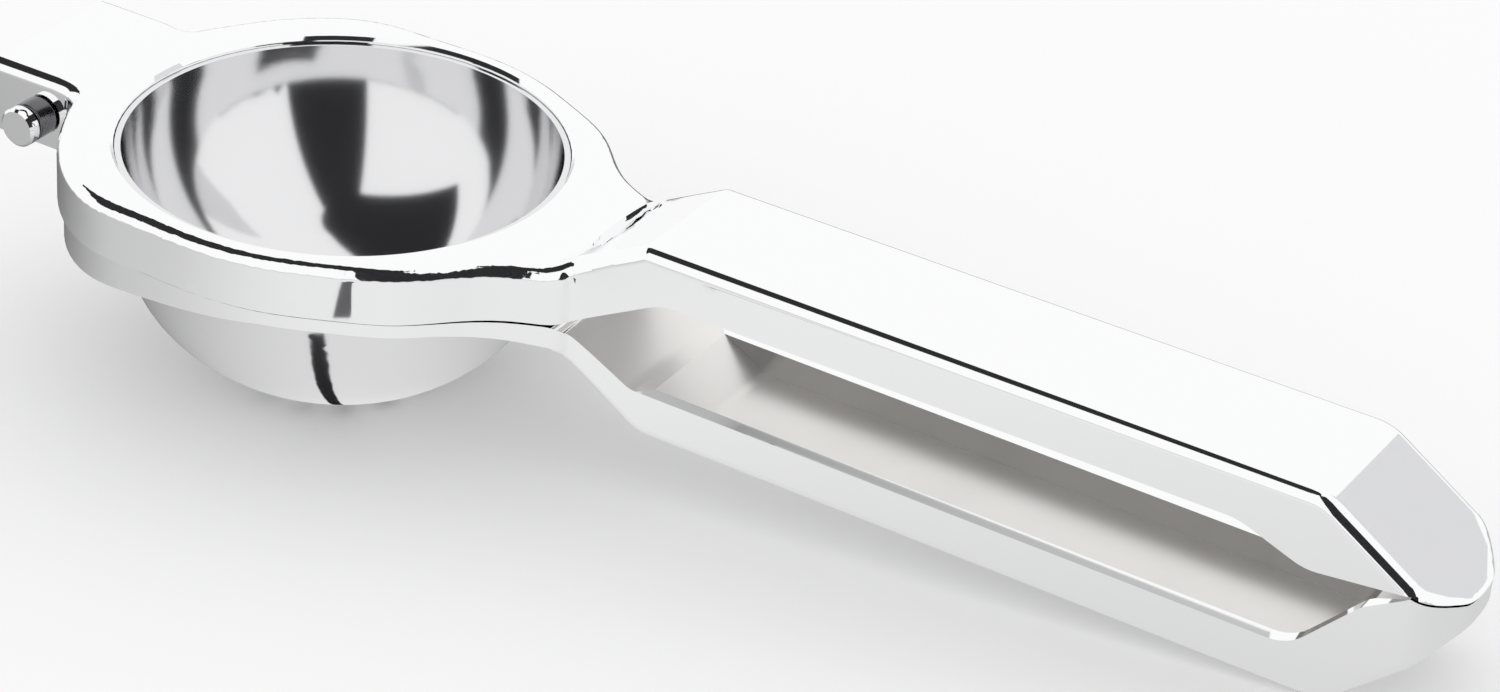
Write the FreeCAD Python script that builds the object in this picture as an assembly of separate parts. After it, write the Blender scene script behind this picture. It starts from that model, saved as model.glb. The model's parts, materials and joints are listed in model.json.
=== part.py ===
# Hinged lemon squeezer: a cast press arm with a pressed bowl, a cast strainer arm
# with a perforated bowl, and the pin that joins them. Millimetres, +Z up.
# Every piece is drawn in the closed tool's own frame: the bowls' axis is Z, the
# handles run along +X and the rim of the press bowl lies in Z = 0. The finished
# pieces are then turned together, so that the closed tool lies on a table.
import FreeCAD, Part
import math
import os
from FreeCAD import Vector

# Bowls
RING_HOLE_R = 30.0        # opening that shows the press bowl
PRESS_WALL = 0.8          # press bowl
CUP_WALL = 0.9            # strainer bowl
CUP_FIT = 0.1             # each bowl to the ring round it
CUP_LIP_DROP = 0.3        # lip of the press bowl below the rim plane
CUP_DEPTH = 26.0          # inside depth of the press bowl
CUP_FLANGE_T = 1.0        # flange of the strainer bowl
CUP_SEAT_W = 1.5          # ledge under the strainer bowl's flange
STRAINER_STEP = 0.5       # strainer bowl's outside within the ring's opening
STRAINER_ROOM = 5.5       # height left for pulp between the two bowls' bottoms
STRAINER_FLAT_R = 6.0
STRAINER_POWER = 2.25     # squareness of the strainer bowl's section
DRAIN_R = 1.5
DRAIN_RING_R = (4.6, 8.8, 12.6)
DRAIN_RING_N = (6, 10, 14)
PRESS_LIP_R = RING_HOLE_R - CUP_FIT - PRESS_WALL      # inside radius at the lip
STRAINER_R = RING_HOLE_R - STRAINER_STEP              # outside radius under its ring
STRAINER_BOTTOM = -(CUP_DEPTH + PRESS_WALL + STRAINER_ROOM + CUP_WALL)

# Press arm: ring
RING_TOP = 0.5            # top of the ring above the bowl's rim
RING_BOTTOM = -7.1        # underside of the ring
RING_WALL = 3.4           # width of the ring beside the bowl
RING_SHOULDER_W = 3.9     # how much wider it is toward the hinge
RING_HOLE_EDGE_R = 0.5    # rounding of the opening's edge
RING_SIDE_R = RING_HOLE_R + RING_WALL
RING_SHOULDER_R = RING_SIDE_R + RING_SHOULDER_W

# Press arm: handle
HANDLE_HALF_W = 10.6      # half the width of both handles
HANDLE_TOP = 7.4          # top face of the raised handle
HANDLE_SIDE_H = 6.9       # height of its side walls
HANDLE_LENGTH = 91.8      # of the level top face
HANDLE_FALL_L = 17.5      # length of the end facet, seen from above
HANDLE_END_SAG = 4.2      # how far the end bulges in plan
HANDLE_WALL = 2.0         # wall of both hollow handles
TIP_NOSE_Z = -4.55        # where the end facet would meet the end
TIP_UNDER_Z = -1.5        # underside where the two handles meet
NECK_RUN = 6.1            # from the ring's side to where the neck starts to climb
NECK_LENGTH = 13.2        # length of the climb
NECK_FLARE = 4.0          # how much wider than the handle the neck leaves the ring
NECK_EDGE_R = 5.0         # bends of the neck seen from the side
FOLD_R = 7.0              # rounding of the fold above the end facet
TOP_EDGE_R = 1.8          # rounding of the whole arm's upper outer edge
NECK_X = RING_SIDE_R + NECK_RUN
HANDLE_START_X = NECK_X + NECK_LENGTH
HANDLE_FOLD_X = HANDLE_START_X + HANDLE_LENGTH
HANDLE_TIP_X = HANDLE_FOLD_X + HANDLE_FALL_L

# Press arm: scoop in the neck
SCOOP_RUN = 3.7           # from the start of the climb
SCOOP_Y = 2.5             # off the middle, toward the clip's side
SCOOP_LENGTH = 17.0
SCOOP_WIDTH = 5.2
SCOOP_DEPTH = 2.6
SCOOP_RISE = 1.2          # centre of the hollow above the ring's top

# Hinge
PIN_RUN = 5.0             # pin axis behind the ring
PIN_Z = -5.4
PIN_R = 2.0               # shank
PIN_RUNNING_GAP = 0.05    # shank in the knuckle's bore
PIN_HEAD_R = 2.75
PIN_HEAD_T = 1.5
PIN_HEAD_CHAMFER = 0.35
PIN_GROOVE_DEPTH = 0.3
PIN_GROOVE_W = 0.5
WASHER_R = 2.7
WASHER_T = 1.6
WASHER_EDGE_R = 0.3
FAR_WASHER_R = 3.3
FAR_WASHER_T = 0.8
CLIP_R = 3.0
CLIP_T = 0.8
CLIP_MOUTH_W = 2.72       # mouth of the spring clip, narrower than the groove
PIN_END_T = 1.0           # stub of the pin beyond its clip
EAR_HALF_W = 12.0         # the two ears, measured over their outsides
EAR_TOP = 1.5
EAR_BOTTOM = -8.8
EAR_BACK_RUN = 6.7        # from the pin to the square end
EAR_FOOT_RUN = 6.8        # from the pin to where the deeper part meets the ring
EAR_CORNER_R = 2.5        # inner corner between the ears and the ring
KNUCKLE_HALF_W = 6.5
KNUCKLE_R = 4.0
HINGE_GAP = 0.35          # knuckle to ears and hood
EAR_SWING_GAP = 0.3367    # between the swinging ears and the lower ring
PIN_GROOVE_R = PIN_R - PIN_GROOVE_DEPTH
PIN_X = -(RING_SHOULDER_R + PIN_RUN)
EAR_END_X = PIN_X - EAR_BACK_RUN
EAR_FOOT_X = PIN_X + EAR_FOOT_RUN

# Strainer arm
ARM_GAP = 0.3             # between the two rings when closed
LOWER_RING_WALL = 1.9     # round the strainer bowl's flange
LOWER_SHOULDER_IN = 0.8   # lower ring within the upper one toward the hinge
LOWER_RING_T = 1.8        # thickness beside the handle
LOWER_RING_SLOPE = 0.105  # the ring thickens toward the hinge by this much
LOWER_RING_DROP = 3.1     # underside of the sloping ring at the bowl's axis, below the upper one
TROUGH_RIM = -13.1        # rim of the open lower handle near the neck
TROUGH_FLOOR_T = 2.6      # floor of the trough above its underside
TROUGH_BOTTOM = -19.4     # underside
TROUGH_FALL = 0.008       # slope of rim and underside along the handle
TROUGH_BOTTOM_EDGE_R = 1.5
HEEL_RUN = 14.0           # from the tip back to where the underside turns up
HEEL_R = 9.0
TIP_MEET_RUN = 5.5        # from the tip back to where the two handles meet
TIP_T = 1.85              # thickness of the strainer arm's tip
RING_BACK_RUN = 6.3       # from the pin to the thick back of the lower ring
LOWER_RING_R = STRAINER_R + CUP_SEAT_W + CUP_FIT + LOWER_RING_WALL
TROUGH_START_X = HANDLE_START_X - 0.7
TROUGH_END_X = HANDLE_FOLD_X - 1.5
TROUGH_CLOSE_X = HANDLE_TIP_X - TIP_MEET_RUN
HEEL_X = HANDLE_TIP_X - HEEL_RUN

# Blanks that the arms are cut from
BLANK_HALF_W = 2 * RING_HOLE_R
BLANK_UP = RING_HOLE_R
BLANK_DOWN = RING_HOLE_R + 10


def corner_arc(before, corner, after, radius):
    """Start, middle, end and centre of the arc that rounds one corner."""
    to_before = (before - corner).normalize()
    to_after = (after - corner).normalize()
    half = math.acos(to_before.dot(to_after)) / 2
    reach = radius / math.tan(half)
    centre = corner + (to_before + to_after).normalize() * (radius / math.sin(half))
    top = centre + (corner - centre).normalize() * radius
    return corner + to_before * reach, top, corner + to_after * reach, centre


def side_profile(points, radii, half_width):
    """A closed side profile whose corners are rounded where a radius is given."""
    count = len(points)
    corners = [Vector(x, -half_width, z) for x, z in points]
    edges = []
    ends = []
    for index, radius in enumerate(radii):
        corner = corners[index]
        if radius == 0:
            ends.append((corner, None, corner))
            continue
        following = corners[(index + 1) % count]
        first, top, last, centre = corner_arc(corners[index - 1], corner, following, radius)
        ends.append((first, top, last))
    for index, (first, top, last) in enumerate(ends):
        if top is not None:
            edges.append(Part.Arc(first, top, last).toShape())
        following = ends[(index + 1) % count][0]
        edges.append(Part.makeLine(last, following))
    face = Part.Face(Part.Wire(edges))
    return face.extrude(Vector(0, 2 * half_width, 0))


def polar(radius, degrees):
    angle = math.radians(degrees)
    return Vector(radius * math.cos(angle), radius * math.sin(angle), 0)


def plan_face(side_r, shoulder_r, neck_points, hinge_half_w, hinge_x, corner_r, tip_x):
    """Outline of one arm seen from above: hinge block, ring, neck and handle."""
    reach = math.sqrt((shoulder_r + corner_r) ** 2 - (hinge_half_w + corner_r) ** 2)
    centre = Vector(-reach, hinge_half_w + corner_r, 0)
    on_ring = centre * (shoulder_r / (shoulder_r + corner_r))
    on_block = Vector(-reach, hinge_half_w, 0)
    between = (on_ring + on_block) * 0.5 - centre
    inner = centre + between.normalize() * corner_r
    turn = math.degrees(math.atan2(on_ring.y, on_ring.x))
    sweep = [on_ring, polar(shoulder_r, turn - 14), polar(shoulder_r, turn - 28)]
    sweep += [polar(shoulder_r - 1.0, 116), polar(side_r + 0.9, 105), polar(side_r, 90)]
    sweep += [polar(side_r, 72), polar(side_r + 0.3, 57), polar(side_r + 1.7, 44)]
    sweep += neck_points
    start_x = neck_points[-1].x
    tangent_in = Vector(on_ring.y, -on_ring.x, 0).normalize()
    curve = Part.BSplineCurve()
    curve.interpolate(Points=sweep, InitialTangent=tangent_in, FinalTangent=Vector(1, 0, 0))
    flank = curve.toShape()
    half_w = neck_points[-1].y
    shoulder_x = tip_x - HANDLE_END_SAG
    shoulder = Vector(shoulder_x - 2.5, half_w, 0)
    corner_point = Vector(shoulder_x + 0.9, half_w - 1.7, 0)
    near_tip = Vector(tip_x - HANDLE_END_SAG / 4, half_w / 2, 0)
    nose = Part.BSplineCurve()
    nose.interpolate(Points=[shoulder, corner_point, near_tip, Vector(tip_x, 0, 0)],
                     InitialTangent=Vector(1, 0, 0), FinalTangent=Vector(0, -1, 0))
    back = Part.makeLine(Vector(hinge_x, -hinge_half_w, 0), Vector(hinge_x, hinge_half_w, 0))
    block = Part.makeLine(Vector(hinge_x, hinge_half_w, 0), on_block)
    corner = Part.Arc(on_block, inner, on_ring).toShape()
    side = Part.makeLine(Vector(start_x, half_w, 0), shoulder)
    upper = [block, corner, flank, side, nose.toShape()]
    lower = [edge.mirror(Vector(0, 0, 0), Vector(0, 1, 0)) for edge in upper]
    edges = Part.__sortEdges__([back] + upper + lower)
    return Part.Face(Part.Wire(edges))


def column(face, low, high):
    """A plan outline drawn up from one height to another."""
    raised = face.copy()
    raised.translate(Vector(0, 0, low))
    return raised.extrude(Vector(0, 0, high - low))


def disc(radius, low, high, x=0.0):
    return Part.makeCylinder(radius, high - low, Vector(x, 0, low))


def cross_pin(radius, start_y, length):
    """A cylinder on the hinge axis, from start_y toward +Y."""
    return Part.makeCylinder(radius, length, Vector(PIN_X, start_y, PIN_Z), Vector(0, 1, 0))


def box(x0, x1, half_w, z0, z1):
    return Part.makeBox(x1 - x0, 2 * half_w, z1 - z0, Vector(x0, -half_w, z0))


def revolve(edges):
    return Part.Face(Part.Wire(edges)).revolve(Vector(0, 0, 0), Vector(0, 0, 1), 360)


def neck_outline(half_w):
    flare = [(0.65, 1.0), (2.15, 0.25), (3.9, 0.0)]
    return [Vector(RING_SIDE_R + NECK_FLARE * run, half_w + NECK_FLARE * out, 0) for run, out in flare]


def press_arm():
    """Upper casting: hinge ears, ring, neck and the raised hollow handle."""
    neck = neck_outline(HANDLE_HALF_W)
    plan = plan_face(RING_SIDE_R, RING_SHOULDER_R, neck, EAR_HALF_W, EAR_END_X,
                     EAR_CORNER_R, HANDLE_TIP_X)
    handle_low = HANDLE_TOP - HANDLE_SIDE_H
    profile = [
        (EAR_END_X - 1, EAR_TOP), (EAR_FOOT_X - 2.5, EAR_TOP), (EAR_FOOT_X + 4.5, RING_TOP),
        (NECK_X, RING_TOP), (HANDLE_START_X, HANDLE_TOP), (HANDLE_FOLD_X, HANDLE_TOP),
        (HANDLE_TIP_X + 1, TIP_NOSE_Z), (TROUGH_CLOSE_X, TIP_UNDER_Z),
        (TROUGH_CLOSE_X - 13.0, handle_low - 3.4), (TROUGH_CLOSE_X - 22.0, handle_low),
        (HANDLE_START_X + 3.0, handle_low), (NECK_X + 2.0, RING_BOTTOM),
        (EAR_FOOT_X, RING_BOTTOM), (EAR_FOOT_X - 2.5, EAR_BOTTOM), (EAR_END_X - 1, EAR_BOTTOM),
    ]
    radii = [0, 12, 12, NECK_EDGE_R, 1.6, FOLD_R, 0, 0, 7, 9, 8, 7, 0, 0, 0]
    body = side_profile(profile, radii, BLANK_HALF_W).common(column(plan, -BLANK_UP, BLANK_UP))
    body = round_top(body)
    channel = side_profile([
        (HANDLE_START_X + 8.0, HANDLE_TOP - HANDLE_WALL), (HANDLE_FOLD_X, HANDLE_TOP - HANDLE_WALL),
        (HANDLE_FOLD_X + 3.0, TROUGH_RIM + 1.1), (HANDLE_START_X + 4.0, TROUGH_RIM + 1.1),
    ], [1.5, 1.5, 0, 0], HANDLE_HALF_W - HANDLE_WALL)
    body = body.cut(channel)
    body = body.cut(press_bore())
    body = body.cut(disc(RING_HOLE_R, -CUP_LIP_DROP, RING_TOP + 1))
    lead_in = Part.makeCone(RING_HOLE_R, RING_HOLE_R + 2 * RING_HOLE_EDGE_R,
                            2 * RING_HOLE_EDGE_R, Vector(0, 0, RING_TOP - RING_HOLE_EDGE_R))
    body = body.cut(lead_in)
    slot_w = KNUCKLE_HALF_W + HINGE_GAP
    slot_r = KNUCKLE_R + HINGE_GAP
    body = body.cut(cross_pin(slot_r, -slot_w, 2 * slot_w))
    body = body.cut(box(EAR_END_X - 2, PIN_X + slot_r, slot_w, EAR_BOTTOM - 2, PIN_Z))
    body = body.cut(box(EAR_END_X - 2, EAR_FOOT_X, slot_w, EAR_BOTTOM - 2, RING_BOTTOM))
    body = body.cut(box(EAR_END_X - 2, PIN_X, slot_w, PIN_Z - 1, PIN_Z + slot_r / 2))
    body = body.cut(cross_pin(PIN_R, -EAR_HALF_W - 1, 2 * EAR_HALF_W + 2))
    return body.cut(scoop()).removeSplitter()


def round_top(body):
    """Rounds the upper outer edges, which run on smoothly from the ears round the tip."""
    half_length = (HANDLE_FOLD_X - HANDLE_START_X) / 2
    chosen = []
    for edge in body.Edges:
        bounds = edge.BoundBox
        if bounds.ZMin > HANDLE_TOP - 0.01 and bounds.XLength > half_length:
            chosen.append(edge)
    return body.makeFillet(TOP_EDGE_R, chosen)


def scoop():
    """The teardrop hollow between the ring and the front of the handle."""
    ball = Part.makeSphere(1.0)
    matrix = FreeCAD.Matrix()
    matrix.scale(SCOOP_WIDTH / 2, SCOOP_LENGTH / 2, SCOOP_DEPTH)
    shaped = ball.transformGeometry(matrix)
    shaped.translate(Vector(NECK_X + SCOOP_RUN, SCOOP_Y, RING_TOP + SCOOP_RISE))
    return shaped


def bowl_radius(power, radius, depth, below):
    """Radius of a bowl's section at a distance below its rim."""
    share = min(1.0, below / depth)
    return radius * (1 - share ** power) ** (1 / power)


def strainer_section(offset):
    """The strainer bowl's outline from its wall down to the edge of the flat bottom."""
    top_z = RING_BOTTOM - ARM_GAP - CUP_FLANGE_T
    depth = top_z - STRAINER_BOTTOM
    steps = 7
    points = []
    for index in range(steps):
        angle = math.radians(72.0 * index / (steps - 1))
        below = depth * math.sin(angle)
        radius = bowl_radius(STRAINER_POWER, STRAINER_R, depth, below)
        points.append(Vector(radius - offset * math.cos(angle), 0, top_z - below + offset * math.sin(angle)))
    points.append(Vector(STRAINER_FLAT_R, 0, STRAINER_BOTTOM + offset))
    curve = Part.BSplineCurve()
    curve.interpolate(Points=points, InitialTangent=Vector(0, 0, -1), FinalTangent=Vector(-1, 0, 0))
    return curve.toShape(), points[0], points[-1]


def strainer_cup():
    """Perforated bowl that hangs in the lower ring by its flange."""
    flange_top = RING_BOTTOM - ARM_GAP
    flange_r = STRAINER_R + CUP_SEAT_W
    outer, outer_top, outer_end = strainer_section(0.0)
    inner, inner_top, inner_end = strainer_section(CUP_WALL)
    axis_low = Vector(0, 0, outer_end.z)
    axis_high = Vector(0, 0, inner_end.z)
    rim_out = Vector(flange_r, 0, flange_top)
    rim_low = Vector(flange_r, 0, outer_top.z)
    rim_in = Vector(inner_top.x, 0, flange_top)
    edges = [
        Part.makeLine(axis_high, axis_low), Part.makeLine(axis_low, outer_end), outer,
        Part.makeLine(outer_top, rim_low), Part.makeLine(rim_low, rim_out),
        Part.makeLine(rim_out, rim_in), Part.makeLine(rim_in, inner_top), inner,
        Part.makeLine(inner_end, axis_high),
    ]
    cup = revolve(edges)
    holes = [disc(DRAIN_R, STRAINER_BOTTOM - 1, STRAINER_BOTTOM + 9)]
    for ring_r, count in zip(DRAIN_RING_R, DRAIN_RING_N):
        for index in range(count):
            place = polar(ring_r, 360.0 * index / count)
            hole = Part.makeCylinder(DRAIN_R, 12, Vector(place.x, place.y, STRAINER_BOTTOM - 1))
            holes.append(hole)
    return cup.cut(holes)


def press_ball():
    """Inside radius of the press bowl's ball and the height of its centre."""
    depth = CUP_DEPTH - CUP_LIP_DROP
    radius = (PRESS_LIP_R ** 2 + depth ** 2) / (2 * depth)
    return radius, radius - CUP_DEPTH


def press_bore():
    """The hole that the press bowl sits in, with a fit all round it."""
    radius, centre_z = press_ball()
    return Part.makeSphere(radius + PRESS_WALL + CUP_FIT, Vector(0, 0, centre_z))


def press_cup():
    """Pressed bowl: a ball-shaped shell whose lip lies in the upper ring."""
    radius, centre_z = press_ball()
    centre = Vector(0, 0, centre_z)
    shell = Part.makeSphere(radius + PRESS_WALL, centre).cut(Part.makeSphere(radius, centre))
    return shell.cut(disc(2 * radius, -CUP_LIP_DROP, 2 * radius))


def lower_z(level, x):
    """Height of a line that falls gently along the lower handle."""
    return level - TROUGH_FALL * (x - TROUGH_START_X)


def strainer_profile():
    """Corners and roundings of the strainer arm seen from the side, in X and Z."""
    top = RING_BOTTOM - ARM_GAP
    ring_low = top - LOWER_RING_T
    middle_z = RING_BOTTOM - LOWER_RING_DROP
    level_x = (ring_low - middle_z) / LOWER_RING_SLOPE
    back_x = PIN_X + RING_BACK_RUN
    return [
        (PIN_X, top, 0), (NECK_X + 1.5, top, 4), (TROUGH_START_X, TROUGH_RIM, 4),
        (TROUGH_END_X, lower_z(TROUGH_RIM, TROUGH_END_X), 6),
        (TROUGH_CLOSE_X - 5.5, TIP_NOSE_Z - 0.55, 4),
        (TROUGH_CLOSE_X, TIP_UNDER_Z - ARM_GAP, 0),
        (HANDLE_TIP_X + 1, TIP_NOSE_Z - ARM_GAP, 0),
        (HANDLE_TIP_X + 1, TIP_NOSE_Z - ARM_GAP - TIP_T, 0),
        (HEEL_X, lower_z(TROUGH_BOTTOM, HEEL_X), HEEL_R),
        (TROUGH_START_X + 1.0, TROUGH_BOTTOM, 6), (NECK_X - 1.0, ring_low - 1.0, 0),
        (LOWER_RING_R - 4.0, ring_low, 0), (level_x, ring_low, 0),
        (back_x, middle_z + LOWER_RING_SLOPE * back_x, 3),
        (PIN_X, PIN_Z - KNUCKLE_R, 0),
    ]


def strainer_arm():
    """Lower casting: knuckle, ring, dog-leg neck and the open trough handle."""
    top = RING_BOTTOM - ARM_GAP
    plan = plan_face(LOWER_RING_R, RING_SHOULDER_R - LOWER_SHOULDER_IN, neck_outline(HANDLE_HALF_W),
                     KNUCKLE_HALF_W, PIN_X, EAR_CORNER_R, HANDLE_TIP_X)
    corners = strainer_profile()
    points = [(x, z) for x, z, radius in corners]
    radii = [radius for x, z, radius in corners]
    body = side_profile(points, radii, BLANK_HALF_W).common(column(plan, -BLANK_DOWN, 0.0))
    body = round_lower(body)
    body = body.fuse(cross_pin(KNUCKLE_R, -KNUCKLE_HALF_W, 2 * KNUCKLE_HALF_W))
    relief_start = KNUCKLE_HALF_W + 0.01
    relief_r = math.hypot(EAR_END_X - PIN_X, EAR_BOTTOM - PIN_Z) + EAR_SWING_GAP
    for side in (-1, 1):
        start = relief_start if side > 0 else -relief_start - EAR_HALF_W
        body = body.cut(cross_pin(relief_r, start, EAR_HALF_W))
    body = body.cut(trough())
    body = body.cut(disc(STRAINER_R + CUP_SEAT_W + CUP_FIT, top - CUP_FLANGE_T, 0.0))
    body = body.cut(disc(STRAINER_R + CUP_FIT, -BLANK_DOWN, top))
    bore = cross_pin(PIN_R + PIN_RUNNING_GAP, -EAR_HALF_W, 2 * EAR_HALF_W)
    return body.cut(bore).removeSplitter()


def trough():
    """The hollow of the lower handle, open at its top."""
    floor_z = TROUGH_BOTTOM + TROUGH_FLOOR_T
    floor_end = lower_z(floor_z, TROUGH_END_X)
    close_x = TROUGH_CLOSE_X - 4.5
    corners = [
        (TROUGH_START_X - 4.0, 0.0), (TROUGH_START_X + 1.5, TROUGH_RIM + 0.6),
        (TROUGH_START_X + 9.0, floor_z), (TROUGH_END_X + 3.0, floor_end),
        (close_x, TIP_NOSE_Z - 1.35), (close_x, 0.0),
    ]
    return side_profile(corners, [0, 1.5, 3, 3, 0, 0], HANDLE_HALF_W - HANDLE_WALL)


def round_lower(body):
    """Rounds the long lower edges of the trough handle."""
    chosen = []
    for edge in body.Edges:
        middle = edge.valueAt((edge.FirstParameter + edge.LastParameter) / 2)
        box_ = edge.BoundBox
        long_enough = box_.XLength > 30.0 and box_.YLength < 0.01
        if long_enough and middle.z < TROUGH_BOTTOM + TROUGH_FLOOR_T and abs(middle.y) > 5.0:
            chosen.append(edge)
    return body.makeFillet(TROUGH_BOTTOM_EDGE_R, chosen)


def head_side():
    return -(EAR_HALF_W + WASHER_T + PIN_GROOVE_W)


def hinge_pin():
    """Pin with a chamfered head on the near side and a clip groove on the far side."""
    head_y = head_side() - PIN_HEAD_T
    head = cross_pin(PIN_HEAD_R, head_y, PIN_HEAD_T)
    face_edges = [edge for edge in head.Edges if edge.BoundBox.YMax < head_y + 0.01]
    head = head.makeChamfer(PIN_HEAD_CHAMFER, face_edges)
    neck = cross_pin(PIN_GROOVE_R, head_side() - 0.1, PIN_GROOVE_W + 0.2)
    shank_start = head_side() + PIN_GROOVE_W
    shank = cross_pin(PIN_R, shank_start, far_end() - shank_start)
    pin = head.fuse(neck).fuse(shank)
    groove = cross_pin(PIN_R + 1, clip_start(), CLIP_T).cut(
        cross_pin(PIN_GROOVE_R, clip_start(), CLIP_T))
    return pin.cut(groove).removeSplitter()


def clip_start():
    return EAR_HALF_W + FAR_WASHER_T


def far_end():
    return clip_start() + CLIP_T + PIN_END_T


def near_washer():
    """Round-edged collar between the pin's head and the near ear."""
    start = -(EAR_HALF_W + WASHER_T)
    ring = cross_pin(WASHER_R, start, WASHER_T)
    outer = [edge for edge in ring.Edges if edge.BoundBox.YMax < start + 0.01]
    ring = ring.makeFillet(WASHER_EDGE_R, outer)
    return ring.cut(cross_pin(PIN_R, start - 1, WASHER_T + 2))


def far_washer():
    ring = cross_pin(FAR_WASHER_R, EAR_HALF_W, FAR_WASHER_T)
    return ring.cut(cross_pin(PIN_R, EAR_HALF_W - 1, FAR_WASHER_T + 2))


def retaining_clip():
    """Open spring clip snapped into the groove at the pin's far end."""
    ring = cross_pin(CLIP_R, clip_start(), CLIP_T)
    ring = ring.cut(cross_pin(PIN_GROOVE_R, clip_start() - 1, CLIP_T + 2))
    mouth = Part.makeBox(CLIP_MOUTH_W, CLIP_T + 2, CLIP_R + 1,
                         Vector(PIN_X - CLIP_MOUTH_W / 2, clip_start() - 1, PIN_Z - CLIP_R - 1))
    return ring.cut(mouth)


def rest_angle():
    """Tilt at which the bowl's flat bottom and the handle's heel touch one table."""
    corners = strainer_profile()
    heel = [x for x, z, radius in corners].index(HEEL_X)
    places = [Vector(x, 0, z) for x, z, radius in corners[heel - 1:heel + 2]]
    centre = corner_arc(*places, HEEL_R)[3]
    run = centre.x - STRAINER_FLAT_R
    rise = centre.z - STRAINER_BOTTOM
    return math.degrees(math.atan2(rise, run) - math.asin(HEEL_R / math.hypot(run, rise)))


PIECES = {
    "press_arm": press_arm,
    "press_cup": press_cup,
    "strainer_arm": strainer_arm,
    "strainer_cup": strainer_cup,
    "hinge_pin": hinge_pin,
    "near_washer": near_washer,
    "far_washer": far_washer,
    "retaining_clip": retaining_clip,
}


def build():
    os.makedirs("parts", exist_ok=True)
    shapes = {name: make() for name, make in PIECES.items()}
    for shape in shapes.values():
        shape.rotate(Vector(0, 0, 0), Vector(0, 1, 0), rest_angle())
    whole = Part.makeCompound(list(shapes.values())).optimalBoundingBox()
    shift = Vector(-(whole.XMin + whole.XMax) / 2, 0, -whole.ZMin)
    for name, shape in shapes.items():
        shape.translate(shift)
        shape.exportStep(f"parts/{name}.step")
        print(name, len(shape.Solids), round(shape.Volume, 1), shape.isValid())
    print("tilt", rest_angle(), "shift", shift, "size", whole)


if __name__ == "__main__":
    build()
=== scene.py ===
import json
import math

import bpy
from bpy.props import FloatProperty, FloatVectorProperty, PointerProperty
from mathutils import Matrix, Vector

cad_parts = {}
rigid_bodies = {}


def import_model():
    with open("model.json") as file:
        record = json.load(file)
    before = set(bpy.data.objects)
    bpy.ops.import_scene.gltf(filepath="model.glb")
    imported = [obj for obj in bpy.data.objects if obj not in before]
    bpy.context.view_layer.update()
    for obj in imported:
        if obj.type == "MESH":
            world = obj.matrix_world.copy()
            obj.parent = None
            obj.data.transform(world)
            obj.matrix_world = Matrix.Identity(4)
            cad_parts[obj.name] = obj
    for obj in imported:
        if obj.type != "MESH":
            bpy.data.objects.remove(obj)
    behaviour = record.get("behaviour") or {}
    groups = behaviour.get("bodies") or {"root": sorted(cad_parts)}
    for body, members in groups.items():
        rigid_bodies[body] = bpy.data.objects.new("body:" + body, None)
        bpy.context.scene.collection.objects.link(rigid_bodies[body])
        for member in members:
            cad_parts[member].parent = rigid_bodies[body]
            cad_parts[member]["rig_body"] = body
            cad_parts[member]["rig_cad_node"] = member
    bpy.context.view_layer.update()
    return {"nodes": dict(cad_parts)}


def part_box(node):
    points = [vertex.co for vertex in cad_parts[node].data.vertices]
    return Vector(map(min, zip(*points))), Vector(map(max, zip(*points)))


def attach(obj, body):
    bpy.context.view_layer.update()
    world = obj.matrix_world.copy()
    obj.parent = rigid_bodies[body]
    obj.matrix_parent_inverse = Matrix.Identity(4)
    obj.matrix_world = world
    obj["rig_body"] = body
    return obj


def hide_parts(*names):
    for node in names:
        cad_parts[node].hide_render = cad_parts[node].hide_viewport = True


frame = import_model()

bl_info = {
    "name": "Lemon Squeezer",
    "version": (1, 0, 0),
    "blender": (4, 5, 0),
    "location": "View3D > Sidebar > Squeezer",
    "description": "Finishes a hinged lemon squeezer in polished chrome and sets its studio",
    "category": "Object",
}

RIM_ANGLE = math.radians(28.0)    # edges sharper than this stay crisp
WELD = 1e-6                       # CAD corners closer than this are one
BOWL_X = -0.0556                  # middle of the bowl's opening
BOWL_Z = 0.030
TROUGH_HALF_W = 0.0087            # just past the inner faces of the trough's side walls
TROUGH_FRONT = 0.088              # where its inside starts, from the lower arm's hinge end
TROUGH_BACK = 0.006               # where its inside stops, from the lower arm's tip
TROUGH_SKIN = 0.0015              # faces lower than this belong to the underside
OVERHANG = -0.05                  # faces that look down more than this aren't its inside
UPRIGHT = 0.5                     # faces that look sideways more than this are walls, which get the darker wall colour with painted shade
FLOOR_DROP = 0.0002               # the floor lies this far below the tool
SHADE_SHEET_RISE = 0.0001               # the glowing sheet with the table's painted shade, above the table
CARD_RISE = 0.0004                # the cards that lie above that sheet
# size, direction and grey levels of the painted table shade on that sheet
SHADE_SHEET_RADIUS = 0.6
SHADE_SHEET_AIM = 0.63                  # direction in which the sheet is palest, in radians
SHADE_SHEET_DARKEST = 0.10
SHADE_SHEET_PALEST = 0.84
SHADE_SHEET_AFAR = 0.62
SHADE_SHEET_FADE = (0.14, 0.45)         # distances between which it turns to the far grey
LINE_AZIMUTH = 23.5               # direction of the dark line down the lower bowl, in degrees


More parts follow.
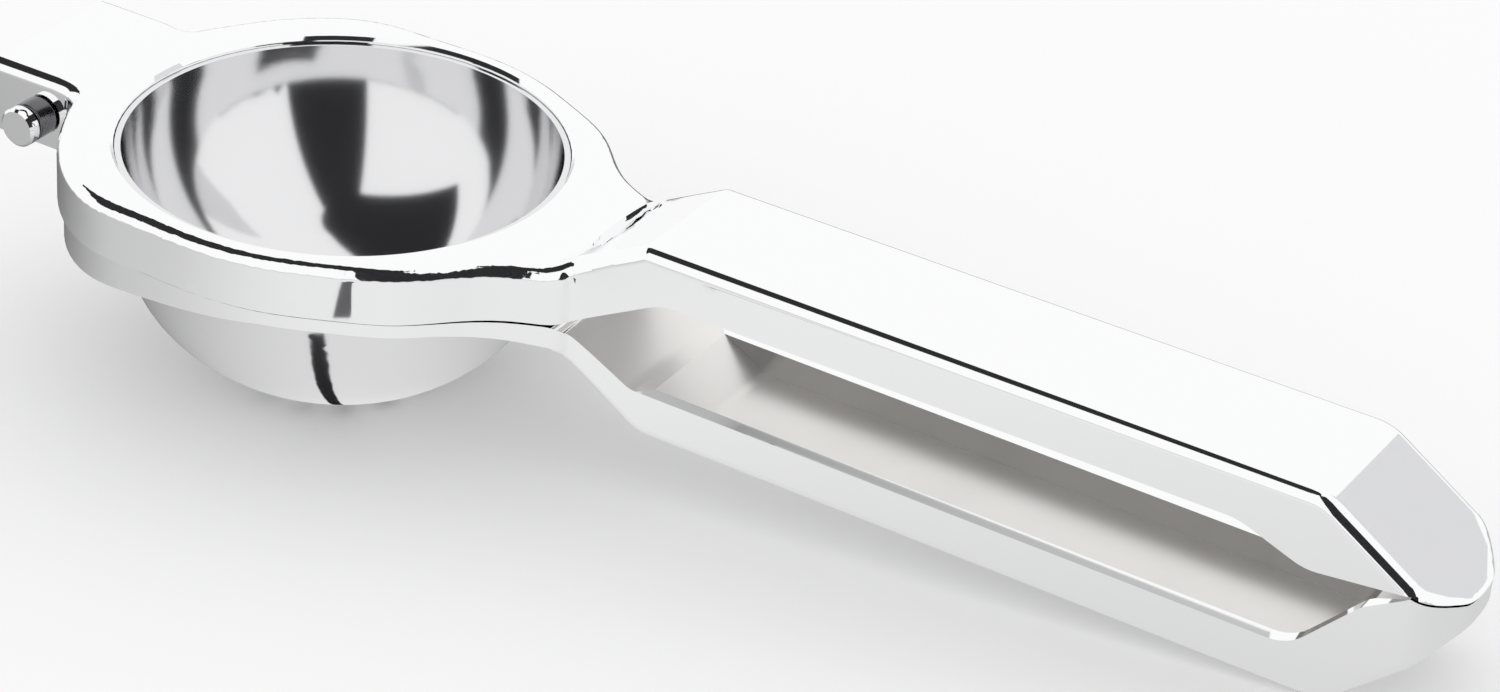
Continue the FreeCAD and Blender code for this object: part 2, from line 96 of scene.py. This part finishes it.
class SqueezerFinish(bpy.types.PropertyGroup):
    """Colours and polish of the squeezer's metal."""

    chrome_colour: FloatVectorProperty(
        name="Chrome", description="Colour of the polished chrome",
        subtype="COLOR", size=3, min=0.0, max=1.0, default=(0.965, 0.967, 0.972),
    )
    chrome_roughness: FloatProperty(
        name="Chrome roughness", description="How soft the reflections in the castings are",
        default=0.045, min=0.0, max=1.0, subtype="FACTOR",
    )
    bowl_colour: FloatVectorProperty(
        name="Bowls", description="Colour of the polished bowls",
        subtype="COLOR", size=3, min=0.0, max=1.0, default=(0.82, 0.82, 0.83),
    )
    bowl_roughness: FloatProperty(
        name="Bowl roughness", description="How soft the reflections in the bowls are",
        default=0.11, min=0.0, max=1.0, subtype="FACTOR",
    )
    satin_colour: FloatVectorProperty(
        name="Satin", description="Colour of the unpolished metal in the trough",
        subtype="COLOR", size=3, min=0.0, max=1.0, default=(0.86, 0.84, 0.82),
    )
    # the trough's side walls: partly a darker unpolished finish, partly painted shade
    wall_colour_and_shade: FloatVectorProperty(
        name="Trough wall and painted shade", description="Colour of the trough's unpolished side walls, darkened with painted shade",
        subtype="COLOR", size=3, min=0.0, max=1.0, default=(0.42, 0.413, 0.406),
    )
    satin_roughness: FloatProperty(
        name="Satin roughness", description="How matt the trough's inside is",
        default=0.34, min=0.0, max=1.0, subtype="FACTOR",
    )
    washer_colour: FloatVectorProperty(
        name="Washers", description="Colour of the dark steel washers and clip",
        subtype="COLOR", size=3, min=0.0, max=1.0, default=(0.16, 0.16, 0.17),
    )


class SqueezerStudio(bpy.types.PropertyGroup):
    """Camera, surround and cards of the studio."""

    azimuth: FloatProperty(
        name="Azimuth", description="Direction that the camera stands in, from -Y toward +X",
        default=math.radians(30.701), subtype="ANGLE", unit="ROTATION",
    )
    elevation: FloatProperty(
        name="Elevation", description="How far the camera looks down",
        default=math.radians(28.2153), subtype="ANGLE", unit="ROTATION",
    )
    roll: FloatProperty(
        name="Roll", description="Tilt of the camera about its own axis",
        default=math.radians(-0.33), subtype="ANGLE", unit="ROTATION",
    )
    distance: FloatProperty(
        name="Distance", description="From the camera to the point it looks at",
        default=0.52674, subtype="DISTANCE", unit="LENGTH",
    )
    aim: FloatVectorProperty(
        name="Aim", description="Point that the camera looks at",
        subtype="TRANSLATION", unit="LENGTH", size=3, default=(-0.003311, 0.016275, 0.009988),
    )
    lens: FloatProperty(
        name="Lens", description="Focal length on a 36 mm wide sensor, in millimetres",
        default=96.0, min=10.0, max=300.0,
    )
    surround: FloatProperty(
        name="Surround", description="Brightness of the white room that the chrome mirrors",
        default=1.0, min=0.0, max=2.0, subtype="FACTOR",
    )
    card_colour: FloatVectorProperty(
        name="Cards", description="Colour of the dark cards that draw the chrome's lines",
        subtype="COLOR", size=3, min=0.0, max=1.0, default=(0.028, 0.028, 0.030),
    )
    grey_colour: FloatVectorProperty(
        name="Grey card", description="Colour of the card that shades the handle's end",
        subtype="COLOR", size=3, min=0.0, max=1.0, default=(0.74, 0.74, 0.75),
    )
    dim_colour: FloatVectorProperty(
        name="Dim card", description="Colour of the card that the front of the ring mirrors",
        subtype="COLOR", size=3, min=0.0, max=1.0, default=(0.12, 0.12, 0.125),
    )


def finish_of(context):
    return context.scene.squeezer_finish


def only(*objects):
    """Selects these objects and nothing else, the last one active."""
    bpy.ops.object.select_all(action="DESELECT")
    for item in objects:
        item.select_set(True)
        bpy.context.view_layer.objects.active = item


def polished_copy(node, name):
    """A welded, smoothly shaded copy of one CAD piece, which it then stands for."""
    source = frame["nodes"][node]
    body = source["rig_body"]
    only(source)
    bpy.ops.object.duplicate()
    piece = bpy.context.view_layer.objects.active
    piece.name = name
    del piece["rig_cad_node"]
    bpy.ops.object.mode_set(mode="EDIT")
    bpy.ops.mesh.select_all(action="SELECT")
    bpy.ops.mesh.remove_doubles(threshold=WELD)
    bpy.ops.object.mode_set(mode="OBJECT")
    if piece.data.has_custom_normals:
        bpy.ops.mesh.customdata_custom_splitnormals_clear()
    bpy.ops.object.shade_smooth_by_angle(angle=RIM_ANGLE)
    bpy.ops.object.modifier_add(type="WEIGHTED_NORMAL")
    weighted = piece.modifiers[-1]
    weighted.keep_sharp = True
    weighted.weight = 80
    bpy.ops.object.modifier_apply(modifier=weighted.name)
    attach(piece, body)
    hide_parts(node)
    piece.data.materials.clear()
    return piece


def metal(name, colour, roughness, drift, grain):
    """Metal whose gloss drifts a little over the surface, as hand polishing leaves it."""
    made = bpy.data.materials.new(name)
    made.use_nodes = True
    nodes = made.node_tree.nodes
    links = made.node_tree.links
    shader = nodes["Principled BSDF"]
    shader.inputs["Base Color"].default_value = (*colour, 1.0)
    shader.inputs["Metallic"].default_value = 1.0
    place = nodes.new("ShaderNodeTexCoord")
    place.location = (-900, 0)
    clouds = nodes.new("ShaderNodeTexNoise")
    clouds.location = (-700, 0)
    clouds.inputs["Scale"].default_value = grain
    clouds.inputs["Detail"].default_value = 3.0
    span = nodes.new("ShaderNodeMapRange")
    span.location = (-450, 0)
    span.inputs["To Min"].default_value = max(0.0, roughness - drift)
    span.inputs["To Max"].default_value = roughness + drift
    links.new(place.outputs["Object"], clouds.inputs["Vector"])
    links.new(clouds.outputs["Fac"], span.inputs["Value"])
    links.new(span.outputs["Result"], shader.inputs["Roughness"])
    return made


def casting_chrome(context):
    """The castings' chrome, made once and shared by all that wear it."""
    finish = finish_of(context)
    name = "Casting chrome"
    found = bpy.data.materials.get(name)
    return found or metal(name, finish.chrome_colour, finish.chrome_roughness, 0.01, 40.0)


class SQUEEZER_OT_press_arm(bpy.types.Operator):
    """Polishes the upper casting with its ears, ring and handle"""

    bl_idname = "squeezer.press_arm"
    bl_label = "Press Arm"

    def execute(self, context):
        piece = polished_copy("press_arm", "press_arm_polished")
        piece.data.materials.append(casting_chrome(context))
        return {"FINISHED"}


class SQUEEZER_OT_strainer_arm(bpy.types.Operator):
    """Polishes the lower casting and leaves the inside of its trough satin, its side walls
    darker: partly their unpolished finish, partly painted shade
    """

    bl_idname = "squeezer.strainer_arm"
    bl_label = "Strainer Arm"

    def execute(self, context):
        finish = finish_of(context)
        piece = polished_copy("strainer_arm", "strainer_arm_polished")
        piece.data.materials.append(casting_chrome(context))
        satin = metal("Trough satin", finish.satin_colour, finish.satin_roughness, 0.05, 90.0)
        wall = metal("Trough wall and painted shade", finish.wall_colour_and_shade, finish.satin_roughness, 0.05, 90.0)
        piece.data.materials.append(satin)
        piece.data.materials.append(wall)
        low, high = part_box("strainer_arm")
        for face in piece.data.polygons:
            middle = face.center
            along = low.x + TROUGH_FRONT < middle.x < high.x - TROUGH_BACK
            within = along and abs(middle.y) < TROUGH_HALF_W
            if within and face.normal.z > OVERHANG and middle.z > low.z + TROUGH_SKIN:
                # side walls get the darker colour, partly their unpolished finish and partly
                # painted shade
                face.material_index = 2 if abs(face.normal.y) > UPRIGHT else 1
        return {"FINISHED"}


class SQUEEZER_OT_bowls(bpy.types.Operator):
    """Polishes the pressing bowl and the perforated bowl"""

    bl_idname = "squeezer.bowls"
    bl_label = "Bowls"

    def execute(self, context):
        finish = finish_of(context)
        mirror = metal("Bowl mirror", finish.bowl_colour, finish.bowl_roughness, 0.015, 25.0)
        bowls = (("press_cup", "press_bowl_chrome"), ("strainer_cup", "strainer_bowl_chrome"))
        for node, slot in bowls:
            piece = polished_copy(node, node + "_polished")
            piece.data.materials.append(mirror)
        return {"FINISHED"}


class SQUEEZER_OT_hinge_hardware(bpy.types.Operator):
    """Finishes the hinge pin, its washers and its clip"""

    bl_idname = "squeezer.hinge_hardware"
    bl_label = "Hinge Hardware"

    def execute(self, context):
        finish = finish_of(context)
        pin = polished_copy("hinge_pin", "hinge_pin_polished")
        pin.data.materials.append(casting_chrome(context))
        dark = metal("Washer steel", finish.washer_colour, 0.22, 0.05, 200.0)
        for node in ("near_washer", "far_washer"):
            washer = polished_copy(node, node + "_finished")
            washer.data.materials.append(dark)
        clip = polished_copy("retaining_clip", "retaining_clip_finished")
        clip.data.materials.append(dark)
        return {"FINISHED"}


def plain_paint(name, colour):
    """A matt paint without gloss, for the floor and the cards."""
    paint = bpy.data.materials.get(name)
    if paint is None:
        paint = bpy.data.materials.new(name)
        paint.use_nodes = True
        shader = paint.node_tree.nodes["Principled BSDF"]
        shader.inputs["Base Color"].default_value = (*colour, 1.0)
        shader.inputs["Roughness"].default_value = 1.0
        shader.inputs["Specular IOR Level"].default_value = 0.0
    return paint


def only_mirrored(item):
    """Marks a stage object that the metal mirrors and the camera doesn't see."""
    item.visible_camera = False
    item.visible_shadow = False
    item.visible_diffuse = False


def add_card(name, corners, colour):
    """A flat card through these corners."""
    bpy.ops.object.select_all(action="DESELECT")
    bpy.ops.mesh.primitive_circle_add(vertices=len(corners), fill_type="NGON")
    card = bpy.context.view_layer.objects.active
    card.name = name
    for vertex, corner in zip(card.data.vertices, corners):
        vertex.co = corner
    card.data.update()
    card.data.materials.append(plain_paint(name + " paint", colour))
    only_mirrored(card)


def toward(azimuth, run, height):
    """A point seen from the bowl's middle, at that direction, distance and height."""
    turn = math.radians(azimuth)
    return (BOWL_X + run * math.sin(turn), -run * math.cos(turn), height)


class SQUEEZER_OT_stage(bpy.types.Operator):
    """Sets up the white room, the floor, the glowing sheet of painted table shade, the dark
    cards and the camera
    """

    bl_idname = "squeezer.stage"
    bl_label = "Studio"

    def execute(self, context):
        studio = context.scene.squeezer_studio
        scene = context.scene
        scene.view_settings.view_transform = "Standard"
        self.room(scene, studio)
        self.floor(studio)
        self.painted_table_shade()
        self.cards(studio)
        self.camera(scene, studio)
        return {"FINISHED"}

    def cards(self, studio):
        """The cards whose reflections draw the lines in the chrome."""
        high = 0.6
        bar = [(-1.05, -0.90), (0.15, -0.45)]
        steps = 12
        for step in range(1, steps):
            turn = math.pi * (step / steps - 0.5)
            bar.append((0.15 + 0.22 * math.cos(turn), -0.185 + 0.265 * math.sin(turn)))
        bar += [(0.15, 0.08), (-1.05, 0.45)]
        corners = [(BOWL_X + x * high, y * high, BOWL_Z + high) for x, y in bar]
        add_card("card_overhead", corners, studio.card_colour)
        away = 0.66
        corners = [toward(24, away, 0.005), toward(66, away, 0.005),
                   toward(74, away, 1.9), toward(24, away, 1.9)]
        add_card("card_behind_camera", corners, studio.card_colour)
        wedges = (
            ("card_under_bowl", 0.004, 0.050, 4.2, 3.0, studio.card_colour),
            ("card_before_ring", 0.072, 0.110, 1.1, 1.0, studio.dim_colour),
        )
        for name, near, far, near_half, far_half, colour in wedges:
            corners = [toward(LINE_AZIMUTH - near_half, near, CARD_RISE),
                       toward(LINE_AZIMUTH + near_half, near, CARD_RISE),
                       toward(LINE_AZIMUTH + far_half, far, CARD_RISE),
                       toward(LINE_AZIMUTH - far_half, far, CARD_RISE)]
            add_card(name, corners, colour)
        corners = [(0.28, 0.6, 0.30), (0.62, 0.6, 0.22), (0.62, 0.6, 0.62), (0.36, 0.6, 0.90)]
        add_card("card_beyond_tip", corners, studio.grey_colour)

    def painted_table_shade(self):
        """The table's shade as the chrome mirrors it, painted on a glowing sheet: grey round
        the bowl, darkest behind it, and paler farther out.
        """
        bpy.ops.object.select_all(action="DESELECT")
        bpy.ops.mesh.primitive_circle_add(vertices=96, radius=SHADE_SHEET_RADIUS, fill_type="NGON")
        sheet = bpy.context.view_layer.objects.active
        sheet.name = "card_painted_table_shade"
        sheet.data.transform(Matrix.Translation((BOWL_X, 0.0, SHADE_SHEET_RISE)))
        shade_paint = bpy.data.materials.new("Painted table shade")
        shade_paint.use_nodes = True
        nodes = shade_paint.node_tree.nodes
        links = shade_paint.node_tree.links
        nodes.remove(nodes["Principled BSDF"])
        output = nodes["Material Output"]
        # the sheet glows, though it is no lamp: the table's shade is painted into its
        # strength
        glow = nodes.new("ShaderNodeEmission")
        place = nodes.new("ShaderNodeTexCoord")
        centre = nodes.new("ShaderNodeVectorMath")
        centre.operation = "SUBTRACT"
        centre.inputs[1].default_value = (BOWL_X, 0.0, 0.0)
        reach = nodes.new("ShaderNodeVectorMath")
        reach.operation = "LENGTH"
        aimed = nodes.new("ShaderNodeVectorMath")
        aimed.operation = "NORMALIZE"
        facing = nodes.new("ShaderNodeVectorMath")
        facing.operation = "DOT_PRODUCT"
        facing.inputs[1].default_value = (math.sin(SHADE_SHEET_AIM), -math.cos(SHADE_SHEET_AIM), 0.0)
        near = nodes.new("ShaderNodeMapRange")
        near.inputs["From Min"].default_value = -1.0
        near.inputs["To Min"].default_value = SHADE_SHEET_DARKEST
        near.inputs["To Max"].default_value = SHADE_SHEET_PALEST
        far = nodes.new("ShaderNodeMapRange")
        far.interpolation_type = "SMOOTHSTEP"
        far.inputs["From Min"].default_value = SHADE_SHEET_FADE[0]
        far.inputs["From Max"].default_value = SHADE_SHEET_FADE[1]
        blend = nodes.new("ShaderNodeMix")
        blend.data_type = "FLOAT"
        blend.inputs[3].default_value = SHADE_SHEET_AFAR
        links.new(place.outputs["Object"], centre.inputs[0])
        links.new(centre.outputs[0], reach.inputs[0])
        links.new(centre.outputs[0], aimed.inputs[0])
        links.new(aimed.outputs[0], facing.inputs[0])
        links.new(facing.outputs["Value"], near.inputs["Value"])
        links.new(reach.outputs["Value"], far.inputs["Value"])
        links.new(far.outputs["Result"], blend.inputs[0])
        links.new(near.outputs["Result"], blend.inputs[2])
        links.new(blend.outputs[0], glow.inputs["Strength"])
        links.new(glow.outputs["Emission"], output.inputs["Surface"])
        sheet.data.materials.append(shade_paint)
        only_mirrored(sheet)

    def room(self, scene, studio):
        world = bpy.data.worlds.new("White room")
        scene.world = world
        world.use_nodes = True
        nodes = world.node_tree.nodes
        links = world.node_tree.links
        background = nodes["Background"]
        background.inputs["Color"].default_value = (1.0, 1.0, 1.0, 1.0)
        rays = nodes.new("ShaderNodeLightPath")
        rays.location = (-700, 200)
        strength = nodes.new("ShaderNodeMix")
        strength.location = (-300, 0)
        strength.data_type = "FLOAT"
        strength.inputs[2].default_value = studio.surround
        strength.inputs[3].default_value = 1.0
        links.new(rays.outputs["Is Camera Ray"], strength.inputs[0])
        links.new(strength.outputs[0], background.inputs["Strength"])

    def floor(self, studio):
        bpy.ops.object.select_all(action="DESELECT")
        bpy.ops.mesh.primitive_plane_add(size=8.0)
        plane = bpy.context.view_layer.objects.active
        plane.name = "floor"
        plane.data.transform(Matrix.Translation((0.0, 0.0, -FLOOR_DROP)))
        plane.data.materials.append(plain_paint("Floor white", (0.97, 0.97, 0.97)))

    def camera(self, scene, studio):
        east = math.cos(studio.elevation) * math.sin(studio.azimuth)
        south = -math.cos(studio.elevation) * math.cos(studio.azimuth)
        back = Vector((east, south, math.sin(studio.elevation)))
        bpy.ops.object.camera_add(location=Vector(studio.aim) + back * studio.distance)
        camera = bpy.context.view_layer.objects.active
        camera.name = "photo_camera"
        level = Vector((math.cos(studio.azimuth), math.sin(studio.azimuth), 0.0))
        upright = back.cross(level)
        right = level * math.cos(studio.roll) + upright * math.sin(studio.roll)
        up = upright * math.cos(studio.roll) - level * math.sin(studio.roll)
        camera.rotation_euler = Matrix((right, up, back)).transposed().to_euler()
        camera.data.lens = studio.lens
        camera.data.sensor_width = 36.0
        camera.data.clip_end = 20.0
        scene.camera = camera


class SQUEEZER_PT_panel(bpy.types.Panel):
    """Lists the steps and their settings"""

    bl_idname = "SQUEEZER_PT_panel"
    bl_label = "Lemon Squeezer"
    bl_space_type = "VIEW_3D"
    bl_region_type = "UI"
    bl_category = "Squeezer"

    def draw(self, context):
        layout = self.layout
        for step in OPERATORS:
            layout.operator(step.bl_idname)
        for group in (context.scene.squeezer_finish, context.scene.squeezer_studio):
            box = layout.box()
            for name in group.__annotations__:
                box.prop(group, name)


OPERATORS = (
    SQUEEZER_OT_press_arm,
    SQUEEZER_OT_strainer_arm,
    SQUEEZER_OT_bowls,
    SQUEEZER_OT_hinge_hardware,
    SQUEEZER_OT_stage,
)
CLASSES = (SqueezerFinish, SqueezerStudio) + OPERATORS + (SQUEEZER_PT_panel,)


def register():
    for item in CLASSES:
        bpy.utils.register_class(item)
    bpy.types.Scene.squeezer_finish = PointerProperty(type=SqueezerFinish)
    bpy.types.Scene.squeezer_studio = PointerProperty(type=SqueezerStudio)


def unregister():
    del bpy.types.Scene.squeezer_studio
    del bpy.types.Scene.squeezer_finish
    for item in reversed(CLASSES):
        bpy.utils.unregister_class(item)


def main():
    register()
    bpy.ops.squeezer.press_arm()
    bpy.ops.squeezer.strainer_arm()
    bpy.ops.squeezer.bowls()
    bpy.ops.squeezer.hinge_hardware()
    bpy.ops.squeezer.stage()


if __name__ == "__main__":
    main()
